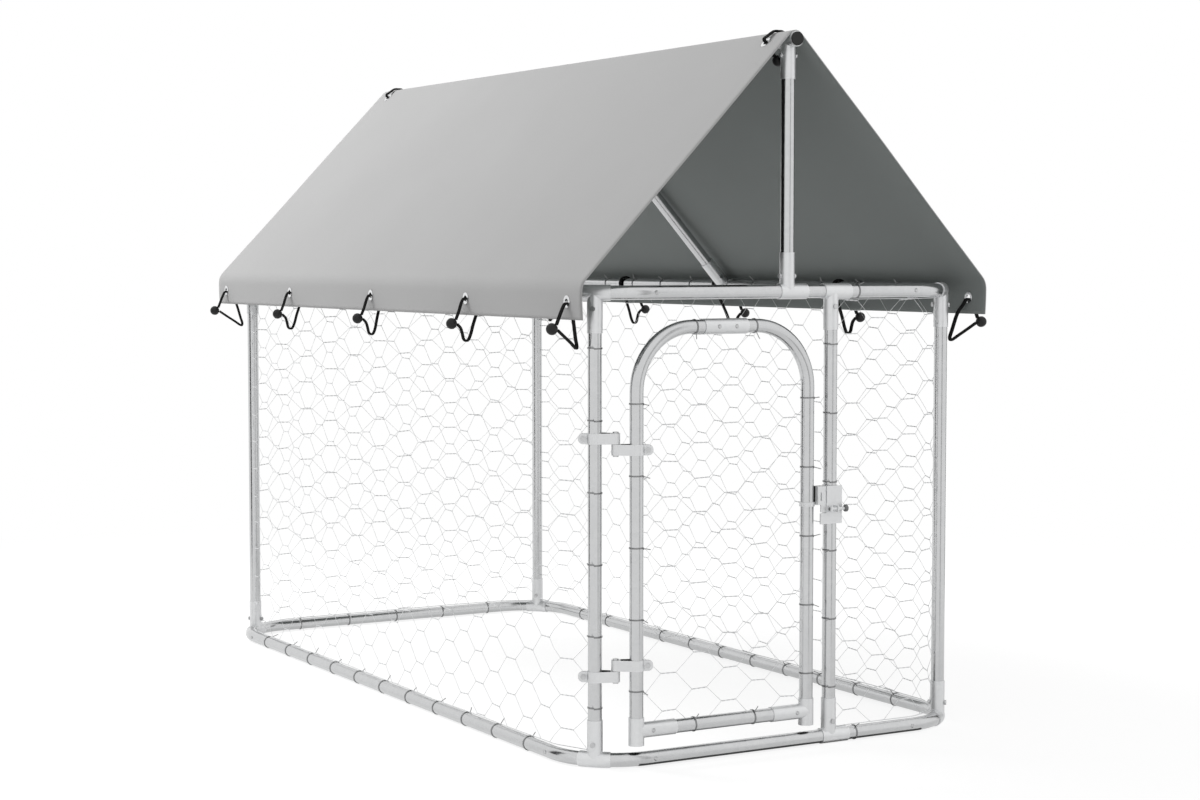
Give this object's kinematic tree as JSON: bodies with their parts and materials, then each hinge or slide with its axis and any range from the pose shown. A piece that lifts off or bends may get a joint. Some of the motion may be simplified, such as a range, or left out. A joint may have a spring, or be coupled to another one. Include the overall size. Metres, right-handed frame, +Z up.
{
  "type": "outdoor dog kennel run",
  "caption": "Free-standing tube-frame pet run with hexagonal wire netting, an arched hinged door with a slide latch and a pitched tarpaulin roof held by ball bungees.",
  "frame": {"origin": "bottom centre of the bounding box, on the ground under the middle of the run", "axes": "+X to the right seen from the door end, +Y to the back, +Z up"},
  "size_m": [1.1059, 2.014, 1.5021],
  "materials": {
    "galvanised_tube": "galvanised, satin",
    "pressed_fittings": "galvanised, satin",
    "zinc_hardware": "zinc plated",
    "galvanised_wire": "galvanised",
    "grey_tarpaulin": "coated woven sheet",
    "eyelet_metal": "bright",
    "black_elastic": "braided cover",
    "black_plastic": "moulded"
  },
  "bodies": {
    "frame": {"base_rail_front": "galvanised_tube", "base_rail_right": "galvanised_tube", "base_rail_back": "galvanised_tube", "base_rail_left": "galvanised_tube", "base_bend_fl": "galvanised_tube", "base_bend_fr": "galvanised_tube", "base_bend_bl": "galvanised_tube", "base_bend_br": "galvanised_tube", "top_rail_front": "galvanised_tube", "top_rail_right": "galvanised_tube", "top_rail_back": "galvanised_tube", "top_rail_left": "galvanised_tube", "top_bend_fl": "galvanised_tube", "top_bend_fr": "galvanised_tube", "top_bend_bl": "galvanised_tube", "top_bend_br": "galvanised_tube", "post_fl": "galvanised_tube", "post_fr": "galvanised_tube", "post_bl": "galvanised_tube", "post_br": "galvanised_tube", "latch_post": "galvanised_tube", "king_post_front": "galvanised_tube", "king_post_back": "galvanised_tube", "ridge_tube": "galvanised_tube", "rafter_left": "galvanised_tube", "rafter_right": "galvanised_tube", "ridge_caps": "black_plastic", "base_corner_tees": "pressed_fittings", "top_corner_tees": "pressed_fittings", "post_tees": "pressed_fittings", "ridge_end_tees": "pressed_fittings", "rafter_feet": "pressed_fittings", "ridge_cross": "pressed_fittings", "frame_bolts": "zinc_hardware", "joint_screws": "zinc_hardware", "hinge_post_clamps": "pressed_fittings", "hinge_pins": "zinc_hardware", "latch_bracket": "pressed_fittings", "net_left": "galvanised_wire", "net_right": "galvanised_wire", "net_back": "galvanised_wire", "net_front": "galvanised_wire", "corner_nets": "galvanised_wire", "frame_ties": "galvanised_wire", "tarp": "grey_tarpaulin", "tarp_eyelets": "eyelet_metal", "bungee_loops": "black_elastic", "bungee_balls": "black_plastic"},
    "door": {"door_tube_left": "galvanised_tube", "door_tube_right": "galvanised_tube", "door_top_sleeve": "pressed_fittings", "door_bottom_rail": "galvanised_tube", "door_tees": "pressed_fittings", "door_net": "galvanised_wire", "door_ties": "galvanised_wire", "hinge_door_clamps": "pressed_fittings", "door_fasteners": "zinc_hardware", "latch_keeper": "pressed_fittings"},
    "latch_bolt": {"latch_bolt": "zinc_hardware"}
  },
  "joints": [
    {"name": "door_swing", "type": "hinge", "parent": "frame", "child": "door", "pos_m": [-0.40049, -0.9515, 0.4267], "axis": [0, 0, -1], "range_deg": [0, 120]},
    {"name": "latch_slide", "type": "slide", "parent": "frame", "child": "latch_bolt", "axis": [-1, 0, 0], "range_m": [0, 0.016]}
  ]
}
